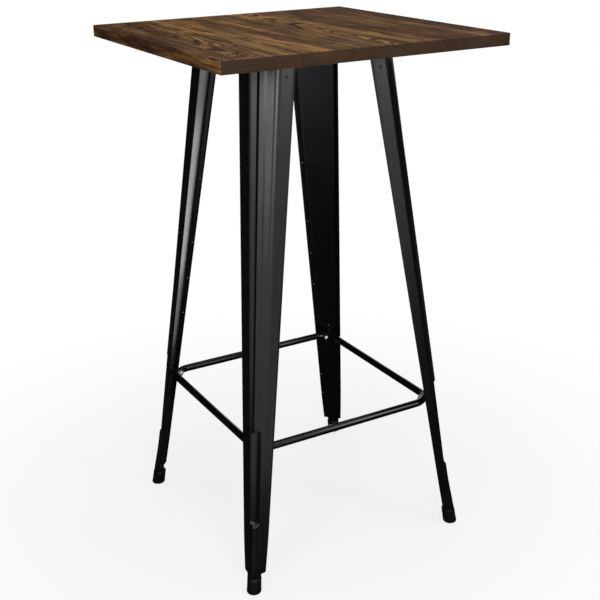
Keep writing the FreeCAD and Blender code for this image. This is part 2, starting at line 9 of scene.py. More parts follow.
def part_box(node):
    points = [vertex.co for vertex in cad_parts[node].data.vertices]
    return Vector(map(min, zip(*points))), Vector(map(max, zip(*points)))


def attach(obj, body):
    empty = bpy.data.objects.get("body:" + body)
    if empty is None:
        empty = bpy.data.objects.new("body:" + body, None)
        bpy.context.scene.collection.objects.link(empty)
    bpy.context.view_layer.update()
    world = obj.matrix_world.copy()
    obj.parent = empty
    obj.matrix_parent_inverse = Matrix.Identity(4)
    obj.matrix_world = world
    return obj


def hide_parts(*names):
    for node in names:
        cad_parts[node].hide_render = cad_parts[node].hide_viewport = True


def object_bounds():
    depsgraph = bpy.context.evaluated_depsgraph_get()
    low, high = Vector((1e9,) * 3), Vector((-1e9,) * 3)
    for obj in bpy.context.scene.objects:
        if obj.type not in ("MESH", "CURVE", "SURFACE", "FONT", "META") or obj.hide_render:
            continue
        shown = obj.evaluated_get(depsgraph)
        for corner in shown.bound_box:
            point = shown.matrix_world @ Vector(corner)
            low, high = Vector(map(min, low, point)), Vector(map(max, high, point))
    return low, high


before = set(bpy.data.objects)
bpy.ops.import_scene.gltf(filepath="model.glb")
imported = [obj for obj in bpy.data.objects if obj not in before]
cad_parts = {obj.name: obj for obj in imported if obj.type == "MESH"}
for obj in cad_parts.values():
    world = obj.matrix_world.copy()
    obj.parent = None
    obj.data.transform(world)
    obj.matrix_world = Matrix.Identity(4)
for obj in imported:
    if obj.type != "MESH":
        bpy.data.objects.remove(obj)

cad_low, cad_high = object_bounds()

# Every drawing value below is in millimetres; meshes are written in metres.
MM = 0.001
SHARP_ANGLE = math.radians(40)        # an edge that bends more than this stays sharp

# Turn of each leg about the table's axis, in degrees. In the leg frame Y points outwards and X runs across.
CORNERS = {"front_left": 135, "front_right": 225, "back_right": 315, "back_left": 45}

# Top.
TOP_HEIGHT = cad_high.z / MM
TOP_SIDE = (cad_high.x - cad_low.x) / MM
LEG_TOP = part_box("top_board_1")[0].z / MM
BOARD_COUNT = sum(name.startswith("top_board_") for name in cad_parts)
BOARD_WIDTH = TOP_SIDE / BOARD_COUNT
EDGE_ROUND = 2                        # rounding of the top's upper edges and upright corners
LOWER_EDGE_SHARE = 0.4                # its lower edges get this share of it
GLUED_EDGE_SHARE = 0.06               # the edges along the glue lines get this share

# Leg shell.
FOOT_RADIUS = 498 / math.sqrt(2)      # axis of the table to the middle of a foot, at the floor
FOOT_SETBACK = 6                      # lip plane to the foot's centre line
LIP_RADIUS_FLOOR = FOOT_RADIUS - FOOT_SETBACK
LIP_RADIUS_TOP = 165.9                # axis of the table to the lip plane, at the leg's top
LEAN = math.atan((LIP_RADIUS_FLOOR - LIP_RADIUS_TOP) / LEG_TOP)
SHELL_WALL = 1.5
SHELL_EDGE = 0.25                     # rounding of the sheet's trimmed edges
SHELL_END = 33
WING_HEIGHT = 42
WING_ROUND = 3
TONGUE = 14                           # half width of the tongue over the foot
SHIN_EASE = 24                        # the leg's lines bend softly over this height at the shin
FOLD_RADIUS = 2.6                     # press radius of the rib's folds
RECESS = {"bottom": 142, "top": 345, "half_width": 11, "depth": 3.6, "side_ramp": 2.2,
          "foot_ramp": 10, "head_ramp": 5, "valley_round": 0.8}
HOLE_HEIGHT, HOLE_RADIUS = 152, 2
TRIM_OVERCUT = 0.6                    # the trimming tools reach past the lips by this
TRIM_REACH = 40                       # and this far in front of the lips and behind them

# Half sections of the shell, seen from above: height, then lip, shoulder, foot and crest of the rib as
# (across, outwards from the lips), then the bend radius of the shoulder.
LEG_SECTIONS = (
    (SHELL_END, (21.6, 0), (12.5, 11), (8, 15.4), (3.6, 19.6), 8),
    (110, (25.7, 0), (12, 9.1), (6.8, 12.4), (3, 16.4), 10),
    (LEG_TOP, (55.3, 0), (30.2, 28.5), (9.5, 28.4), (4.6, 31), 24),
)

# Back plate: (height, how far it lies behind the lips). It runs out towards the lips along the recess.
BACK_WALL = 1.2
BACK_EDGE = 0.2
BACK_BEND = 3.5
BACK_EASE = 18
BACK_START_GAP = 4                    # above the shell's trimmed shoulders
BACK_TOP_GAP = 3
BACK_START, BACK_END = WING_HEIGHT + BACK_START_GAP, LEG_TOP - BACK_TOP_GAP
BACK_STRAIGHT = 420                   # its lines are straight from here up
BACK_SHALLOW, BACK_DEEP = 1.4, 7      # below the recess and above it
BACK_DEPTHS = ((BACK_START, BACK_SHALLOW), (RECESS["bottom"], BACK_SHALLOW), (RECESS["top"], BACK_DEEP),
               (LEG_TOP, 9))
BACK_SLOPE = (BACK_DEEP - BACK_SHALLOW) / (RECESS["top"] - RECESS["bottom"])

# Weld marks: a turned profile of (height, radius) from its bottom to its top, and where they are.
WELD_PROFILE = ((-0.3, 1.6), (0.12, 1.5), (0.36, 1.1), (0.45, 0.5), (0.45, 0.1))
WELD_HEIGHTS = (54, 119, 176, 437, 521, 605, 750)
WELD_SHARE = 0.45                     # how far from the lips to the plate's face
WELD_LEAST = 0.6                      # but at least this far from the lips
WELD_TILT = 0.8                       # turn of the marks towards the table's axis on a shallow plate,
WELD_TILT_DEPTH = 4                   # which lies less than this behind the lips
PLUG_HEIGHT = 322                     # a plug weld in the middle of the plate, above the footrest
BRACKET_WELD_HEIGHT = 1012
BRACKET_WELD_SHARE = 0.5              # how far from lip to shoulder
BRACKET_WELD_SIZE = 2.0               # times a spot weld

# Footrest.
ring_low, ring_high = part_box("footrest_ring")
RING_BEND = 41
RING_DIAMETER = (ring_high.z - ring_low.z) / MM
RING_HEIGHT = (ring_high.z + ring_low.z) / 2 / MM
RING_SPAN = (ring_high.x - ring_low.x) / MM - RING_DIAMETER

# Footrest bolts stand square on the back plate. The skirt of a head reaches down past the rod's round side.
RING_CORNER = (RING_SPAN - (2 - math.sqrt(2)) * RING_BEND) / math.sqrt(2)
BOLT_RISE = math.atan(math.tan(LEAN) - BACK_SLOPE)
BOLT_HEAD_PROFILE = ((-3, 5.75), (0.6, 5.75), (1.3, 5.45), (2.1, 4.8), (2.8, 3.9), (3.2, 3.1), (3.4, 2.6))
BOLT_SOCKET_RADIUS, BOLT_SOCKET_FLOOR = 2.3, 1.3

# Screws of the top in the leg frame: (across, inwards from the lips at the leg's top).
SCREW_SPOTS = ((26, 22), (-26, 22), (15, 7), (-15, 7))
SCREW_HEAD_PROFILE = ((0, 4.75), (0.7, 4.75), (1.6, 4.3), (2.3, 3.2), (2.6, 1.8))
CROSS_REACH, CROSS_HALF_WIDTH, CROSS_FLOOR = 2.4, 0.55, 0.9
BRACKET_WALL = 3

# Rubber foot: (height, radius) up its leaning axis.
FOOT_PROFILE = ((0, 11.8), (0.4, 12.9), (1.4, 14.2), (2.8, 14.85), (4.4, 15), (8, 14.85), (14, 14.6),
                (24, 14.5), (32.3, 14.5), (32.8, 14.35), (33, 14.1), (33, 9.5), (42, 9.5))


# ---------------------------------------------------------------- small tools

def interpolate(low, high, share):
    """What lies a share of the way between two numbers or two points."""
    if isinstance(low, tuple):
        return tuple(interpolate(a, b, share) for a, b in zip(low, high))
    return low + (high - low) * share


def lookup(table, height):
    """A row of sizes at a height, from a table whose rows start with their heights."""
    height = min(max(height, table[0][0]), table[-1][0])
    for low, high in zip(table, table[1:]):
        if height <= high[0]:
            return interpolate(low[1:], high[1:], (height - low[0]) / (high[0] - low[0]))


def average(rows):
    """The mean of several rows of the same form."""
    if isinstance(rows[0], tuple):
        return tuple(average(column) for column in zip(*rows))
    return sum(rows) / len(rows)


def eased(table, height, reach):
    """What lookup gives, with the corners of the table's lines rounded over a reach."""
    samples = 4
    return average([lookup(table, height + reach * step / samples) for step in range(-samples, samples + 1)])


def smooth_step(value):
    """0 below 0, 1 above 1 and a smooth rise between."""
    value = min(max(value, 0), 1)
    return value * value * (3 - 2 * value)


def direction(start, end):
    """Unit vector from one flat point to another."""
    length = math.dist(start, end)
    return ((end[0] - start[0]) / length, (end[1] - start[1]) / length)


def rounded(before, corner, after, radius, steps):
    """Points along the arc that rounds a corner, in a number of steps."""
    inward, outward = direction(before, corner), direction(corner, after)
    turn = math.acos(max(-1, min(1, inward[0] * outward[0] + inward[1] * outward[1])))
    reach = radius * math.tan(turn / 2)
    # Two arcs on one line each get less than half of it.
    reach = min(reach, 0.45 * math.dist(before, corner), 0.45 * math.dist(corner, after))
    start = Vector((corner[0] - inward[0] * reach, corner[1] - inward[1] * reach))
    end = Vector((corner[0] + outward[0] * reach, corner[1] + outward[1] * reach))
    middle = Vector(corner)
    points = []
    for step in range(steps + 1):
        share = step / steps
        # A rational quadratic through start and end is the exact arc.
        a, b, c = (1 - share) ** 2, 2 * share * (1 - share) * math.cos(turn / 2), share ** 2
        point = (start * a + middle * b + end * c) / (a + b + c)
        points.append((point.x, point.y))
    return points


def spread(start, end, count):
    """Points evenly between two flat points, without either of them."""
    return [interpolate(start, end, step / (count + 1)) for step in range(1, count + 1)]


def arc(centre, radius, start, end, steps):
    """Flat points along an arc between two angles in degrees."""
    angles = [math.radians(interpolate(start, end, step / steps)) for step in range(steps + 1)]
    return [(centre[0] + radius * math.cos(angle), centre[1] + radius * math.sin(angle)) for angle in angles]


def circle(centre, radius, count):
    """Flat points around a circle."""
    return arc(centre, radius, 0, 360, count)[:-1]


def new_object(name, data):
    """An object at the origin that holds a mesh, a lamp or a camera."""
    thing = bpy.data.objects.new(name, data)
    bpy.context.scene.collection.objects.link(thing)
    return thing


def mesh_of(name, points, faces):
    """A mesh from points in millimetres."""
    mesh = bpy.data.meshes.new(name)
    mesh.from_pydata([Vector(point) * MM for point in points], [], faces)
    mesh.validate()
    return mesh


def grid(name, rows, closed=False, capped=False):
    """A mesh of quads between rows of points.

    closed joins each row's end to its start; capped closes the first and the last row with a face.
    """
    width = len(rows[0])
    last = (len(rows) - 1) * width
    faces = []
    for row in range(0, last, width):
        for column in range(width if closed else width - 1):
            following = (column + 1) % width
            faces.append((row + column, row + following, row + width + following, row + width + column))
    if capped:
        faces += [tuple(range(width))[::-1], tuple(range(last, last + width))]
    return mesh_of(name, [point for row in rows for point in row], faces)


def lathe(name, profile, segments, start=0.0, slope=0.0):
    """A closed turned body; profile is (height, radius) from its bottom to its top.

    Its axis stands at a distance along Y and leans back by a slope, while its rings stay level.
    """
    rows = [[(*point, height) for point in circle((0, start - slope * height), radius, segments)]
            for height, radius in profile]
    return grid(name, rows, closed=True, capped=True)


def facing_out(mesh):
    """The same mesh with its double points merged and its faces turned outwards."""
    form = bmesh.new()
    form.from_mesh(mesh)
    bmesh.ops.remove_doubles(form, verts=form.verts, dist=0.01 * MM)
    bmesh.ops.recalc_face_normals(form, faces=form.faces)
    form.to_mesh(mesh)
    form.free()
    return mesh


def prisms(name, outlines, low, high):
    """Closed prisms that stand on flat outlines of (across, height) and run from low to high in Y."""
    points, faces = [], []
    for outline in outlines:
        near = range(len(points), len(points) + len(outline))
        far = range(near.stop, near.stop + len(outline))
        points += [(across, depth, height) for depth in (low, high) for across, height in outline]
        faces += [tuple(near), tuple(far)[::-1]]
        faces += [(near[index - 1], far[index - 1], far[index], near[index]) for index in range(len(outline))]
    return facing_out(mesh_of(name, points, faces))


def worked(mesh, *steps):
    """What modifiers make of a mesh; each step is a modifier's kind and its settings.

    A mesh among the settings is lent an object.
    """
    blank = new_object("blank", mesh)
    spare = [blank]
    for number, (kind, settings) in enumerate(steps):
        modifier = blank.modifiers.new("step_%d" % number, kind)
        for key, value in settings.items():
            if isinstance(value, bpy.types.Mesh):
                value = new_object("tool", value)
                spare.append(value)
            setattr(modifier, key, value)
    evaluated = blank.evaluated_get(bpy.context.evaluated_depsgraph_get())
    result = bpy.data.meshes.new_from_object(evaluated)
    for thing in spare:
        bpy.data.objects.remove(thing)
    return result


def cut_with(cutters):
    """The step that takes the cutters from a mesh."""
    return "BOOLEAN", {"object": cutters, "operation": "DIFFERENCE", "solver": "EXACT"}


def thickened(wall):
    """The step that gives an outer face its wall, inwards."""
    return "SOLIDIFY", {"thickness": wall * MM, "offset": -1, "use_even_offset": True}


def deburred(width):
    """The step that rounds the edges of cut sheet, which are those sharper than 60 degrees."""
    return "BEVEL", {"width": width * MM, "segments": 2, "limit_method": "ANGLE",
                     "angle_limit": math.radians(60), "use_clamp_overlap": True}


def settle(name, mesh, material, nodes=()):
    """Make a piece of the table: shaded, painted, riding on the body and standing for CAD nodes."""
    mesh.polygons.foreach_set("use_smooth", [True] * len(mesh.polygons))
    mesh.set_sharp_from_angle(angle=SHARP_ANGLE)
    mesh.materials.clear()
    mesh.materials.append(material)
    thing = new_object(name, mesh)
    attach(thing, "root")
    if nodes:
        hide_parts(*nodes)


def turned(mesh, degrees, name):
    """A copy of a mesh turned about the table's axis."""
    copy = mesh.copy()
    copy.name = name
    copy.transform(Matrix.Rotation(math.radians(degrees), 4, "Z"))
    return copy


# ---------------------------------------------------------------- materials

MATHS, RANGE, MIX = "ShaderNodeMath", "ShaderNodeMapRange", "ShaderNodeMix"
NOISE, RAMP, BUMP = "ShaderNodeTexNoise", "ShaderNodeValToRGB", "ShaderNodeBump"


def colour(code):
    """A linear colour from an sRGB hex value."""
    parts = [int(code[start:start + 2], 16) / 255 for start in (1, 3, 5)]
    return [part / 12.92 if part <= 0.04045 else ((part + 0.055) / 1.055) ** 2.4 for part in parts] + [1]


def add(tree, kind, values=(), stops=(), **settings):
    """Add a node with its settings and links.

    values maps an input's name or number to a number, an output or a node, whose first output is meant.
    stops are a colour ramp's positions, each with a hex colour or a grey level.
    """
    node = tree.nodes.new(kind)
    for key, value in settings.items():
        setattr(node, key, value)
    for key, value in dict(values).items():
        if isinstance(value, bpy.types.Node):
            value = value.outputs[0]
        if isinstance(value, bpy.types.NodeSocket):
            tree.links.new(value, node.inputs[key])
        else:
            node.inputs[key].default_value = value
    if stops:
        elements = node.color_ramp.elements
        while len(elements) < len(stops):
            elements.new(0.5)
        for element, (position, value) in zip(elements, stops):
            element.position = position
            element.color = colour(value) if isinstance(value, str) else (value, value, value, 1)
    return node


def cleared(owner):
    """The tree of a new material or world, with no nodes in it."""
    owner.use_nodes = True
    owner.node_tree.nodes.clear()
    return owner.node_tree


def new_material(name, surface, *details):
    """A material with one Principled shader, whose inputs a surface function gives."""
    material = bpy.data.materials.new(name)
    tree = cleared(material)
    place = add(tree, "ShaderNodeTexCoord").outputs["Object"]
    shader = add(tree, "ShaderNodeBsdfPrincipled", surface(tree, place, *details))
    add(tree, "ShaderNodeOutputMaterial", {"Surface": shader})
    return material


def powder_coat(tree, place, sharpest, dullest):
    """Black polyester powder coat, sprayed and baked: deep black, semi-gloss, a faint orange peel.

    Its roughness wanders between two values: drawn rod comes out smoother than pressed sheet.
    """
    # Glossier and duller patches about 71 mm across, from an uneven spray.
    cloud = add(tree, NOISE, {"Vector": place, "Scale": 1 / (71.4 * MM), "Detail": 4, "Roughness": 0.6})
    gloss = add(tree, RANGE, {"Value": cloud, "From Min": 0.3, "From Max": 0.7,
                              "To Min": sharpest, "To Max": dullest})
    # Orange peel: dimples 1.2 mm apart.
    peel = add(tree, NOISE, {"Vector": place, "Scale": 1 / (1.2 * MM), "Detail": 2})
    bump = add(tree, BUMP, {"Height": peel, "Strength": 0.06, "Distance": 0.2 * MM})
    return {"Base Color": colour("#050505"), "IOR": 1.4, "Roughness": gloss, "Normal": bump}


def zinc_plate(tree, place):
    """Mild steel with bright zinc plate: pale cool metal, slightly mottled."""
    mottle = add(tree, NOISE, {"Vector": place, "Scale": 1 / (2.5 * MM), "Detail": 3})
    tone = add(tree, RAMP, {"Fac": mottle}, ((0.35, "#c3c4c2"), (0.65, "#dcdcd8")))
    return {"Base Color": tone, "Metallic": 1, "Roughness": 0.3}


def weld_crown_glint(tree, place):
    """The crown of a spot weld under the black coat, drawn with bright steel flecks far lighter than the
    coat: a painted glint.
    """
    # Painted glint: flecks of bright metal on the weld mark, much lighter than the coat around it.
    glint_flecks = add(tree, NOISE, {"Vector": place, "Scale": 1 / (1 * MM), "Detail": 2})
    tone = add(tree, RAMP, {"Fac": glint_flecks}, ((0.4, "#4a4a4a"), (0.6, "#a5a5a2")))
    return {"Base Color": tone, "Metallic": 1, "Roughness": 0.35}


def moulded_rubber(tree, place):
    """Black rubber, injection moulded: a soft sheen and a fine grain."""
    grain = add(tree, NOISE, {"Vector": place, "Scale": 1 / (0.8 * MM), "Detail": 3})
    tone = add(tree, RAMP, {"Fac": grain}, ((0.3, "#040404"), (0.7, "#080807")))
    rough = add(tree, RANGE, {"Value": grain, "To Min": 0.28, "To Max": 0.4})
    bump = add(tree, BUMP, {"Height": grain, "Strength": 0.15, "Distance": 0.15 * MM})
    return {"Base Color": tone, "Specular IOR Level": 0.3, "Roughness": rough, "Normal": bump}


# Each board as sawn: where the pith of its tree lies across and below the board's middle, how fast the
# pith climbs along the board, and the mean width of a year ring; then how light the board is and how red
# it took the stain.
BOARDS = (
    {"across": 2, "below": 36, "climb": -0.09, "ring": 5.2, "light": 0.48, "red": 0.2},
    {"across": -80, "below": 34, "climb": 0.03, "ring": 5, "light": 0.6, "red": 0},
    {"across": 92, "below": 30, "climb": 0.02, "ring": 5.5, "light": 0.5, "red": 0.1},
    {"across": -3, "below": 40, "climb": 0.085, "ring": 5.4, "light": 0.58, "red": 0.1},
    {"across": -70, "below": 30, "climb": -0.03, "ring": 5, "light": 0.4, "red": 0.5},
    {"across": 100, "below": 42, "climb": 0.02, "ring": 6, "light": 0.38, "red": 0.6},
)


def grain_cloud(tree, place, number, width, length, detail, shift=0.0):
    """Noise drawn out along a board's grain: its patches have a width and a length in millimetres.

    Each board has its own, and a shift gives it another.
    """
    scale = (1 / (width * MM), 1 / (length * MM), 1 / (width * MM))
    location = (number * 3.1 + shift, number * 1.7, shift)
    mapped = add(tree, "ShaderNodeMapping", {"Vector": place, "Scale": scale, "Location": location})
    return add(tree, NOISE, {"Vector": mapped, "Scale": 1, "Detail": detail})


def year_rings(tree, place, number, board, cloud):
    """How deep in early wood a point lies: the rings are wavering cones about the pith."""
    across, along, up = add(tree, "ShaderNodeSeparateXYZ", {0: place}).outputs
    pith_across = -TOP_SIDE / 2 + (number - 0.5) * BOARD_WIDTH + board["across"]
    pith_height = (TOP_HEIGHT + LEG_TOP) / 2 - board["below"]
    drift = add(tree, RANGE, {"Value": cloud(90, 330, 2), "To Min": -13 * MM, "To Max": 13 * MM}, clamp=False)
    sideways = add(tree, MATHS, {0: across, 1: pith_across * MM}, operation="SUBTRACT")
    sideways = add(tree, MATHS, {0: sideways, 1: drift}, operation="ADD")
    climb = add(tree, MATHS, {0: along, 1: board["climb"], 2: -pith_height * MM}, operation="MULTIPLY_ADD")
    height = add(tree, MATHS, {0: up, 1: climb}, operation="ADD")
    from_pith = add(tree, "ShaderNodeCombineXYZ", {"X": sideways, "Z": height})
    radius = add(tree, "ShaderNodeVectorMath", {0: from_pith}, operation="LENGTH").outputs["Value"]
    radius = add(tree, MATHS, {0: cloud(12, 60, 3, 5.0), 1: 8 * MM, 2: radius}, operation="MULTIPLY_ADD")
    years = add(tree, MATHS, {0: radius, 1: board["ring"] * MM}, operation="DIVIDE")

    # Spells of about 2.5 good or bad years make the rings uneven, and each year takes the stain its own way.
    spells = add(tree, NOISE, {"W": years, "Scale": 1 / 2.5, "Detail": 1}, noise_dimensions="1D")
    years = add(tree, MATHS, {0: spells, 1: 3, 2: years}, operation="MULTIPLY_ADD")
    year = add(tree, MATHS, {0: years}, operation="FLOOR")
    strength = add(tree, "ShaderNodeTexWhiteNoise", {"W": year}, noise_dimensions="1D")
    strength = add(tree, MATHS, {0: strength, 1: 1.2, 2: 0.12}, operation="MULTIPLY_ADD")

    # The early wood starts at once in spring and fades out by the middle of the ring.
    season = add(tree, MATHS, {0: years}, operation="FRACT")
    early = add(tree, RAMP, {"Fac": season}, ((0, 0.1), (0.06, 1.0), (0.26, 0.9), (0.5, 0.1), (1, 0.0)))
    early = add(tree, "ShaderNodeRGBToBW", {0: early})
    return add(tree, MATHS, {0: early, 1: strength}, operation="MULTIPLY")


def stained_ash(tree, place, number, board):
    """Ash boards, wire brushed, with a dark walnut stain under a thin dull lacquer.

    The stain fills the open pores of each year's early wood, which draws dark lines and arches.
    """
    cloud = functools.partial(grain_cloud, tree, place, number)
    early = year_rings(tree, place, number, board, cloud)

    # Pores: streaks 0.6 mm wide and 24 mm long; drawn about twice as coarse as real ones so that they show.
    pores = add(tree, RANGE, {"Value": cloud(0.6, 24, 2), "From Min": 0.4, "From Max": 0.62})
    streaks = add(tree, RANGE, {"Value": cloud(2.2, 160, 3, 9.0), "From Min": 0.45, "From Max": 0.7})
    in_rings = add(tree, MATHS, {0: pores, 1: 0.8, 2: 0.65}, operation="MULTIPLY_ADD")
    dark = add(tree, MATHS, {0: early, 1: in_rings}, operation="MULTIPLY")
    dark = add(tree, MATHS, {0: pores, 1: 0.28, 2: dark}, operation="MULTIPLY_ADD")
    dark = add(tree, MATHS, {0: streaks, 1: 0.45, 2: dark}, operation="MULTIPLY_ADD")

    # End grain drinks more stain and shows its rings only faintly; the long edges are calmer than the face.
    normal = add(tree, "ShaderNodeNewGeometry").outputs["Normal"]
    facing = add(tree, "ShaderNodeVectorMath", {0: normal}, operation="ABSOLUTE")
    facing_x, facing_y, _ = add(tree, "ShaderNodeSeparateXYZ", {0: facing}).outputs
    end_grain = add(tree, MATHS, {0: facing_y, 1: 0.7}, operation="GREATER_THAN")
    long_edge = add(tree, MATHS, {0: facing_x, 1: 0.7}, operation="GREATER_THAN")
    soaked = add(tree, MATHS, {0: dark, 1: 0.2, 2: 0.47}, operation="MULTIPLY_ADD")
    dark = add(tree, MIX, {"Factor": end_grain, "A": dark, "B": soaked})
    calm = add(tree, MATHS, {0: dark, 1: 0.45}, operation="MULTIPLY")
    dark = add(tree, MIX, {"Factor": long_edge, "A": dark, "B": calm})

    # Broad light and dark bands along the boards, blotches in the stain and fine pale streaks, each with how
    # far it swings the level. They nearly vanish on the end grain.
    swings = ((cloud(30, 420, 2, 2.0), 1.5), (cloud(35, 70, 3, 7.0), 0.8), (cloud(1.8, 70, 2, 4.0), 1.3))
    level = board["light"] - sum(swing for _, swing in swings) / 2
    for patches, swing in swings:
        level = add(tree, MATHS, {0: patches, 1: swing, 2: level}, operation="MULTIPLY_ADD")
    even = add(tree, MATHS, {0: level, 1: 0.15, 2: 0.085}, operation="MULTIPLY_ADD")
    level = add(tree, MIX, {"Factor": end_grain, "A": level, "B": even})

    brown = add(tree, RAMP, {"Fac": level}, ((0.1, "#3d2712"), (0.5, "#6d4d2a"), (0.9, "#b5874e")))
    red = add(tree, RAMP, {"Fac": level}, ((0.1, "#3a2414"), (0.5, "#5f3f25"), (0.9, "#885d38")))
    wood = add(tree, MIX, {"Factor": board["red"], "A": brown, "B": red}, data_type="RGBA")
    stained = add(tree, MIX, {"Factor": dark, "A": wood.outputs["Result"], "B": colour("#140b05")},
                  data_type="RGBA")
    gloss = add(tree, RANGE, {"Value": dark, "To Min": 0.45, "To Max": 0.65})
    # Brushing leaves the soft early wood and the pores about 0.3 mm deep.
    bump = add(tree, BUMP, {"Height": dark, "Strength": 0.5, "Distance": 0.3 * MM}, invert=True)
    return {"Base Color": stained.outputs["Result"], "Specular IOR Level": 0.13, "Roughness": gloss,
            "Normal": bump}


# ---------------------------------------------------------------- leg shell

def lip_radius(height):
    """Distance of the lip plane from the table's axis."""
    return interpolate(LIP_RADIUS_FLOOR, LIP_RADIUS_TOP, height / LEG_TOP)


def shell_half(height):
    """Half of the shell's outer face at a height, from the lip to the middle, with its folds rounded.

    Each arc and each flat has its number of points, more where it is long or bends.
    """
    lip, shoulder, rib, crest, bend = eased(LEG_SECTIONS, height, SHIN_EASE)
    middle = (0, crest[1])
    arcs = [rounded(lip, shoulder, rib, bend, 12), rounded(shoulder, rib, crest, FOLD_RADIUS, 5),
            rounded(rib, crest, middle, FOLD_RADIUS, 5)]
    return ([lip] + spread(lip, arcs[0][0], 3) + arcs[0] + spread(arcs[0][-1], arcs[1][0], 9) + arcs[1]
            + spread(arcs[1][-1], arcs[2][0], 3) + arcs[2] + spread(arcs[2][-1], middle, 2) + [middle])


def pressed(point, height, rim_out):
    """A point of the outer face moved down into the corner recess, if it lies within it."""
    across, out = point
    half = RECESS["half_width"]
    beyond = max(RECESS["bottom"] + half - height, height - (RECESS["top"] - half), 0)
    from_middle = math.hypot(across, beyond)
    if from_middle >= half:
        return point
    steepness = beyond / from_middle if beyond else 0
    lower = height < (RECESS["bottom"] + RECESS["top"]) / 2
    width = interpolate(RECESS["side_ramp"], RECESS["foot_ramp" if lower else "head_ramp"], steepness)
    valley = rim_out - RECESS["depth"] * (1 - math.hypot(across, RECESS["valley_round"]) / half)
    return (across, interpolate(out, valley, smooth_step((half - from_middle) / width)))


def shell_row(height):
    """The whole outer face at a height, lip to lip, as points in the leg frame."""
    half = shell_half(height)
    if RECESS["bottom"] < height < RECESS["top"]:
        shoulder, rib = eased(LEG_SECTIONS, height, SHIN_EASE)[1:3]
        share = (shoulder[0] - RECESS["half_width"]) / (shoulder[0] - rib[0])
        rim_out = interpolate(shoulder[1], rib[1], share)
        half = [pressed(point, height, rim_out) for point in half]
    whole = half + [(-across, out) for across, out in reversed(half[:-1])]
    return [(across, out + lip_radius(height), height) for across, out in whole]


def heights_between(start, end, step):
    """Heights from start up to end, end left out, about a step apart."""
    count = max(1, round((end - start) / step))
    return [start + (end - start) * index / count for index in range(count)]


def shell_heights():
    """Levels of the shell's mesh, close together at the ends of the recess."""
    margin = 2
    low, high = RECESS["bottom"] - margin, RECESS["top"] + margin
    reach = RECESS["half_width"] + 2 * margin
    # From, to and step.
    stretches = ((SHELL_END, 60, 2), (60, low, 6), (low, low + reach, 0.75), (low + reach, high - reach, 12),
                 (high - reach, high, 0.75), (high, LEG_TOP, 25))
    return [height for stretch in stretches for height in heights_between(*stretch)] + [LEG_TOP]


def wing_outline(side):
    """What is cut from the shell's lower end on one side of its tongue."""
    lip = LEG_SECTIONS[0][1][0] + TRIM_OVERCUT
    low, far = SHELL_END - 2, lip + 2 * WING_ROUND
    outline = [(TONGUE, low)]
    outline += arc((TONGUE + WING_ROUND, WING_HEIGHT - WING_ROUND), WING_ROUND, 180, 90, 8)
    outline += arc((lip - WING_ROUND, WING_HEIGHT + WING_ROUND), WING_ROUND, -90, 0, 8)
    outline += [(far, WING_HEIGHT + WING_ROUND), (far, low)]
    return [(side * across, height) for across, height in outline]


def leg_shell_mesh():
    """The pressed shell in the leg frame, with its lower end trimmed and its hanging hole."""
    blank = grid("leg_shell", [shell_row(height) for height in shell_heights()])
    hole = circle((0, HOLE_HEIGHT), HOLE_RADIUS, 24)
    cutters = prisms("cutters", [wing_outline(1), wing_outline(-1), hole],
                     lip_radius(HOLE_HEIGHT) - TRIM_REACH, lip_radius(SHELL_END) + TRIM_REACH)
    return worked(blank, thickened(SHELL_WALL), cut_with(cutters), deburred(SHELL_EDGE))


# ---------------------------------------------------------------- leg back plate

def inner_wall(height):
    """The flat inner side of the shell at a height: its point at the lips, and its direction outwards."""
    lip, shoulder = eased(LEG_SECTIONS, height, SHIN_EASE)[:2]
    along = direction(lip, shoulder)
    inner = (lip[0] - along[1] * SHELL_WALL, lip[1] + along[0] * SHELL_WALL)
    return (inner[0] - along[0] * inner[1] / along[1], 0), along


def back_row(height):
    """The back plate's outer face at a height, from one flange's edge to the other's."""
    start, along = inner_wall(height)
    depth = eased(BACK_DEPTHS, height, BACK_EASE)[0] + BACK_WALL
    corner = (start[0] + along[0] / along[1] * depth, depth)
    bend = rounded(start, corner, (-corner[0], depth), BACK_BEND + BACK_WALL, 8)
    middle = (0, depth)
    half = [start] + spread(start, bend[0], 2) + bend + spread(bend[-1], middle, 3)
    whole = half + [middle] + [(-across, out) for across, out in reversed(half)]
    return [(across, out + lip_radius(height), height) for across, out in whole]


def back_plate_mesh():
    """The channel between the lips, in the leg frame."""
    heights = heights_between(BACK_START, BACK_STRAIGHT, 12) + heights_between(BACK_STRAIGHT, BACK_END, 60)
    blank = grid("leg_back_plate", [back_row(height) for height in heights + [BACK_END]])
    return worked(blank, thickened(BACK_WALL), deburred(BACK_EDGE))


# ---------------------------------------------------------------- footrest, feet and top

def footrest_mesh():
    """The ring of round rod: four rails and four bends, swept as one closed tube."""
    section = circle((RING_BEND, RING_HEIGHT), RING_DIAMETER / 2, 28)
    inset = RING_SPAN / 2 - RING_BEND
    steps = 16
    rows = []
    for quadrant in range(4):
        turn = quadrant * math.pi / 2
        centre = Matrix.Rotation(turn, 2) @ Vector((inset, inset))
        for step in range(steps + 1):
            outward = turn + math.pi / 2 * step / steps
            rows.append([(centre.x + reach * math.cos(outward), centre.y + reach * math.sin(outward), height)
                         for reach, height in section])
    return facing_out(grid("footrest_ring", rows + rows[:1], closed=True))


def foot_mesh():
    """The rubber foot in the leg frame: its rings are level and lean with the leg."""
    return lathe("foot", FOOT_PROFILE, 48, FOOT_RADIUS, math.tan(LEAN))


def socketed(name, profile, segments, outline, floor):
    """A turned head with a socket of some outline, cut from its top down to a floor."""
    socket = prisms("socket", [outline], floor, profile[-1][0] + 1)
    socket.transform(Matrix.Rotation(math.pi / 2, 4, "X"))
    return worked(lathe(name, profile, segments), cut_with(socket))


def button_head():
    """The round head of a footrest bolt, with a hexagon socket."""
    hexagon = circle((0, 0), BOLT_SOCKET_RADIUS, 6)
    return socketed("button_head", BOLT_HEAD_PROFILE, 32, hexagon, BOLT_SOCKET_FLOOR)


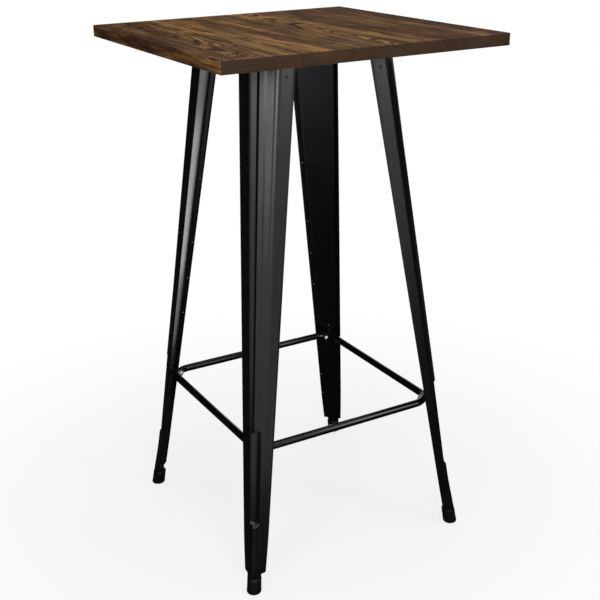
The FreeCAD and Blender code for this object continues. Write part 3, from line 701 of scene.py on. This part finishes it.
def pan_head():
    """The round head of a wood screw, with a cross recess."""
    cross, arm = [], [(CROSS_REACH, CROSS_HALF_WIDTH), (CROSS_HALF_WIDTH, CROSS_HALF_WIDTH),
                      (CROSS_HALF_WIDTH, CROSS_REACH)]
    for _ in range(4):
        cross += arm
        arm = [(-y, x) for x, y in arm]
    return socketed("pan_head", SCREW_HEAD_PROFILE, 28, cross, CROSS_FLOOR)


def weld_dot():
    """The shallow round mark that a spot weld leaves under the paint."""
    return lathe("weld_dot", WELD_PROFILE, 16)


def fixings_tree():
    """Geometry nodes that set a shape on every point, turned to its facing and spun about it."""
    tree = bpy.data.node_groups.new("fixings", "GeometryNodeTree")
    inputs = {"Points": "Geometry", "Shape": "Object", "Size": "Float", "Finish": "Material"}
    for name, kind in inputs.items():
        tree.interface.new_socket(name=name, in_out="INPUT", socket_type="NodeSocket" + kind)
    tree.interface.new_socket(name="Fixings", in_out="OUTPUT", socket_type="NodeSocketGeometry")
    given = add(tree, "NodeGroupInput").outputs
    shape = add(tree, "GeometryNodeObjectInfo", {"Object": given["Shape"]})
    facing = add(tree, "GeometryNodeInputNamedAttribute", {"Name": "facing"}, data_type="FLOAT_VECTOR")
    aligned = add(tree, "FunctionNodeAlignRotationToVector", {"Vector": facing}, axis="Z")
    spin = add(tree, "FunctionNodeRandomValue", {"Min": 0, "Max": 2 * math.pi, "Seed": 4}, data_type="FLOAT")
    about = add(tree, "FunctionNodeAxisAngleToRotation", {"Axis": (0, 0, 1), "Angle": spin.outputs["Value"]})
    turn = add(tree, "FunctionNodeRotateRotation", {0: aligned, 1: about}, rotation_space="LOCAL")
    placed = add(tree, "GeometryNodeInstanceOnPoints", {
        "Points": given["Points"], "Instance": shape.outputs["Geometry"], "Rotation": turn,
        "Scale": given["Size"]})
    real = add(tree, "GeometryNodeRealizeInstances", {0: placed})
    painted = add(tree, "GeometryNodeSetMaterial", {"Geometry": real, "Material": given["Finish"]})
    add(tree, "NodeGroupOutput", {0: painted})
    return tree


def fixings(tree, name, shape_mesh, spots, material, size=1.0):
    """One mesh with the shape on each spot, which is a place and a facing as plain points."""
    points = mesh_of(name, [place for place, _ in spots], [])
    facing = points.attributes.new("facing", "FLOAT_VECTOR", "POINT")
    for item, (_, way) in zip(facing.data, spots):
        item.vector = way
    host, shape = new_object(name, points), new_object("shape", shape_mesh)
    modifier = host.modifiers.new("fixings", "NODES")
    modifier.node_group = tree
    values = {"Shape": shape, "Size": size, "Finish": material}
    for item in tree.interface.items_tree:
        if item.name in values:
            modifier[item.identifier] = values[item.name]
    evaluated = host.evaluated_get(bpy.context.evaluated_depsgraph_get())
    mesh = bpy.data.meshes.new_from_object(evaluated)
    for thing in (host, shape):
        bpy.data.objects.remove(thing)
    return mesh


def at_corners(spots):
    """The same spots on all four legs."""
    placed = []
    for turn in CORNERS.values():
        matrix = Matrix.Rotation(math.radians(turn), 3, "Z")
        placed += [(matrix @ Vector(place), matrix @ Vector(way)) for place, way in spots]
    return placed


def weld_spots():
    """Spot welds on the back plate's flanges, and a plug weld in its middle."""
    spots = []
    for height in WELD_HEIGHTS:
        start, along = inner_wall(height)
        depth = lookup(BACK_DEPTHS, height)[0]
        from_lips = max(depth * WELD_SHARE, WELD_LEAST)
        across = start[0] + along[0] / along[1] * from_lips - along[1] * BACK_WALL
        out = from_lips + along[0] * BACK_WALL + lip_radius(height)
        tilt = WELD_TILT if depth < WELD_TILT_DEPTH else 0
        spots += [((side * across, out, height), (-side * along[1], along[0] - tilt, 0)) for side in (1, -1)]
    depth = lookup(BACK_DEPTHS, PLUG_HEIGHT)[0]
    spots.append(((0, depth + lip_radius(PLUG_HEIGHT), PLUG_HEIGHT), (0, -1, 0)))
    return at_corners(spots)


def bracket_weld_spots():
    """Welds that hold the top bracket's tabs, seen as low marks on the shell's sides."""
    lip, shoulder = lookup(LEG_SECTIONS, BRACKET_WELD_HEIGHT)[:2]
    along = direction(lip, shoulder)
    across, out = interpolate(lip, shoulder, BRACKET_WELD_SHARE)
    out += lip_radius(BRACKET_WELD_HEIGHT)
    return at_corners([((side * across, out, BRACKET_WELD_HEIGHT), (side * along[1], -along[0], 0))
                       for side in (1, -1)])


def bolt_spots():
    """Heads of the footrest bolts: on the inner side of the rod, on the line square to the back plate."""
    reach = RING_CORNER - RING_DIAMETER / 2 * math.cos(BOLT_RISE)
    place = (0, reach, RING_HEIGHT - RING_DIAMETER / 2 * math.sin(BOLT_RISE))
    return at_corners([(place, (0, -math.cos(BOLT_RISE), -math.sin(BOLT_RISE)))])


def screw_spots():
    """Heads of the screws under the brackets."""
    return at_corners([((across, LIP_RADIUS_TOP - inwards, LEG_TOP - BRACKET_WALL), (0, 0, -1))
                       for across, inwards in SCREW_SPOTS])


def board_mesh(number):
    """A board with its outer edges rounded and its glued edges barely broken."""
    low, high = (Vector(corner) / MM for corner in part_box("top_board_%d" % number))
    corners = [(x, y, z) for z in (low.z, high.z) for y in (low.y, high.y) for x in (low.x, high.x)]
    faces = [(0, 2, 3, 1), (4, 5, 7, 6), (0, 1, 5, 4), (2, 6, 7, 3), (0, 4, 6, 2), (1, 3, 7, 5)]
    mesh = mesh_of("board", corners, faces)
    near = 1
    weights = mesh.attributes.new("bevel_weight_edge", "FLOAT", "EDGE")
    for edge in mesh.edges:
        start, end = (mesh.vertices[index].co for index in edge.vertices)
        middle = (start + end) / 2 / MM
        outer_sides = sum(abs(abs(value) - TOP_SIDE / 2) < near for value in (middle.x, middle.y))
        if outer_sides == 2 or outer_sides and middle.z > high.z - near:
            share = 1
        elif outer_sides and middle.z < low.z + near:
            share = LOWER_EDGE_SHARE
        else:
            share = GLUED_EDGE_SHARE
        weights.data[edge.index].value = share
    return worked(mesh, ("BEVEL", {"width": EDGE_ROUND * MM, "segments": 5, "limit_method": "WEIGHT"}))


# ---------------------------------------------------------------- the table

coat = new_material("coated_sheet", powder_coat, 0.24, 0.31)
rod_coat = new_material("coated_rod", powder_coat, 0.13, 0.18)
zinc = new_material("bright_zinc_plate", zinc_plate)
rubber = new_material("black_moulded_rubber", moulded_rubber)
# Weld marks: bright flecked metal that stands in for their glint, a painted highlight on the black coat.
glint_weld_finish = new_material("thinly_coated_weld", weld_crown_glint)

shell_mesh, plate_mesh, rubber_mesh = leg_shell_mesh(), back_plate_mesh(), foot_mesh()
for corner, turn in CORNERS.items():
    for kind, mesh, material, slot, node in (
            ("leg_shell", shell_mesh, coat, "black_powder_coat", "leg_shell_"),
            ("leg_back_plate", plate_mesh, coat, "black_powder_coat", "leg_back_plate_"),
            ("rubber_foot", rubber_mesh, rubber, "black_rubber", "foot_")):
        name = "%s_%s" % (kind, corner)
        settle(name + "_finish", turned(mesh, turn, name), material, [node + corner])
settle("footrest_ring_finish", footrest_mesh(), rod_coat, ["footrest_ring"])
for number, board in enumerate(BOARDS, start=1):
    wood = new_material("stained_ash_%d" % number, stained_ash, number, board)
    name = "top_board_%d" % number
    settle(name + "_finish", board_mesh(number), wood, [name])

tree = fixings_tree()
# The spot weld marks wear the bright flecked metal, their painted glint.
settle("spot_welds", fixings(tree, "spot_welds", weld_dot(), weld_spots(), glint_weld_finish), glint_weld_finish)
settle("bracket_welds",
       fixings(tree, "bracket_welds", weld_dot(), bracket_weld_spots(), coat, BRACKET_WELD_SIZE),
       coat)
settle("footrest_bolts_finish", fixings(tree, "footrest_bolts", button_head(), bolt_spots(), zinc), zinc,
       ["footrest_bolt_" + corner for corner in CORNERS])
settle("top_screws_finish", fixings(tree, "top_screws", pan_head(), screw_spots(), zinc), zinc,
       ["top_screws_" + corner for corner in CORNERS])

CAD_FINISHES = {"footrest_boss": coat, "leg_top_bracket": coat, "leg_end_plate": coat, "foot_stud": zinc}
for node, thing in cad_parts.items():
    for start, material in CAD_FINISHES.items():
        if node.startswith(start):
            thing.data.materials.clear()
            thing.data.materials.append(material)


# ---------------------------------------------------------------- stage

FLOOR_HALF = 30000

# Upright dark cloths: (x, y) where each starts and ends, and its low and high edge.
UPRIGHT_CLOTHS = {
    "dark_cloth_left": ((-1600, -250), (150, 630), 5, 1700),
    "dark_cloth_right": ((450, -450), (550, 150), 5, 1040),
    "dark_cloth_back": ((-700, 1900), (2100, 700), 1150, 2700),
}
GROUND_CLOTH = ((-1800, -420), (-420, -1000), (50, -880), (1500, -3000), (2600, -3000), (350, 560),
                (-1200, 500))
GROUND_CLOTH_HEIGHT = 2

# Soft boxes, in metres: place, aim, width and height, the brightness of the face, and whether it lights
# everything or is only mirrored in what shines.
SOFT_BOXES = {
    "left_box": ((-2.6, -1.9, 1.5), (0, 0, 0.9), (1.0, 1.2), 6, True),
    "front_box": ((-0.8, -3.1, 1.6), (0, 0, 0.8), (1.15, 1.4), 8.5, True),
    "right_box": ((1.7, -2.7, 1.7), (0, 0, 0.8), (0.6, 1.3), 8, True),
    "top_box": ((0, 0, 3.2), (0, 0, 0), (2.4, 2.4), 2.0, True),
    "back_box": ((0.72, 0.86, 0.27), (-0.28, 0.28, 0.7), (0.6, 0.5), 1.7, False),
}


def seen_directly(tree):
    """1 for rays of the eye, of shiny surfaces and through glass, 0 for light on its way to matt ones."""
    path = add(tree, "ShaderNodeLightPath").outputs
    seen = path["Is Camera Ray"]
    for kind in ("Is Glossy Ray", "Is Transmission Ray"):
        seen = add(tree, MATHS, {0: seen, 1: path[kind]}, operation="MAXIMUM")
    return seen


def studio_floor():
    """A pale matt floor with the table's soft shadow, that fades to plain white away from the table."""
    corners = [(x * FLOOR_HALF, y * FLOOR_HALF, 0) for x, y in ((-1, -1), (1, -1), (1, 1), (-1, 1))]
    floor = new_object("studio_floor", mesh_of("floor", corners, [(0, 1, 2, 3)]))
    material = bpy.data.materials.new("pale_floor")
    tree = cleared(material)
    matt = add(tree, "ShaderNodeBsdfDiffuse", {"Color": colour("#f2f2f0")})
    white = add(tree, "ShaderNodeEmission", {"Color": (1, 1, 1, 1), "Strength": 1})
    place = add(tree, "ShaderNodeTexCoord").outputs["Object"]
    distance = add(tree, "ShaderNodeVectorMath", {0: place}, operation="LENGTH").outputs["Value"]
    fade = add(tree, RANGE, {"Value": distance, "From Min": 0.3, "From Max": 1.3, "To Min": 0.75,
                             "To Max": 1}, interpolation_type="SMOOTHSTEP")
    factor = add(tree, MATHS, {0: fade, 1: seen_directly(tree)}, operation="MULTIPLY")
    mix = add(tree, "ShaderNodeMixShader", {0: factor, 1: matt, 2: white})
    add(tree, "ShaderNodeOutputMaterial", {"Surface": mix})
    floor.data.materials.append(material)


def dark_cloth(name, points):
    """A dark cloth beside the set, so that black paint has something dark to mirror, as in a studio.

    Only shiny surfaces see it: it hides nothing from the camera and takes no light from the table.
    """
    cloth = new_object(name, mesh_of(name, points, [tuple(range(len(points)))]))
    material = bpy.data.materials.new("charcoal_molton")
    tree = cleared(material)
    matt = add(tree, "ShaderNodeBsdfDiffuse", {"Color": colour("#363636")})
    add(tree, "ShaderNodeOutputMaterial", {"Surface": matt})
    cloth.data.materials.append(material)
    cloth.visible_camera = False
    cloth.visible_diffuse = False
    cloth.visible_transmission = False
    cloth.visible_shadow = False


def soft_box(name, place, aim, size, radiance, lights_all):
    """A flat lamp that faces a point, with a given brightness of its face."""
    lamp = bpy.data.lights.new(name, "AREA")
    lamp.shape = "RECTANGLE"
    lamp.size, lamp.size_y = size
    lamp.energy = radiance * math.pi * size[0] * size[1]
    thing = new_object(name, lamp)
    thing.location = place
    thing.rotation_mode = "QUATERNION"
    thing.rotation_quaternion = (Vector(aim) - Vector(place)).to_track_quat("-Z", "Y")
    thing.visible_camera = thing.visible_diffuse = lights_all


def surroundings():
    """An even world: white to look at, and a calmer grey as light."""
    world = bpy.data.worlds.new("studio")
    bpy.context.scene.world = world
    tree = cleared(world)
    strength = add(tree, RANGE, {"Value": seen_directly(tree), "To Min": 0.3, "To Max": 1})
    background = add(tree, "ShaderNodeBackground", {"Color": (1, 1, 1, 1), "Strength": strength})
    add(tree, "ShaderNodeOutputWorld", {"Surface": background})


def camera():
    """The camera at the viewing angle: angles in degrees, distance and target in metres, lens in mm."""
    azimuth, elevation, roll = (math.radians(angle) for angle in (-29.70, 21.46, -0.862))
    target, distance, lens = Vector((0.0082, -0.0047, 0.5027)), 2.2511, 62.46
    back = Vector((math.sin(azimuth) * math.cos(elevation), -math.cos(azimuth) * math.cos(elevation),
                   math.sin(elevation)))
    right = Vector((math.cos(azimuth), math.sin(azimuth), 0))
    up = back.cross(right)
    tilted_right = right * math.cos(roll) + up * math.sin(roll)
    tilted_up = up * math.cos(roll) - right * math.sin(roll)
    data = bpy.data.cameras.new("camera")
    data.sensor_width, data.lens = 36, lens
    thing = new_object("camera", data)
    axes = Matrix((tilted_right, tilted_up, back)).transposed()
    thing.matrix_world = Matrix.Translation(target + back * distance) @ axes.to_4x4()
    bpy.context.scene.camera = thing


studio_floor()
surroundings()
for name, (start, end, low, high) in UPRIGHT_CLOTHS.items():
    dark_cloth(name, [(*start, low), (*end, low), (*end, high), (*start, high)])
dark_cloth("dark_cloth_ground", [(*point, GROUND_CLOTH_HEIGHT) for point in GROUND_CLOTH])
for name, settings in SOFT_BOXES.items():
    soft_box(name, *settings)
camera()
bpy.context.scene.view_settings.view_transform = "Standard"
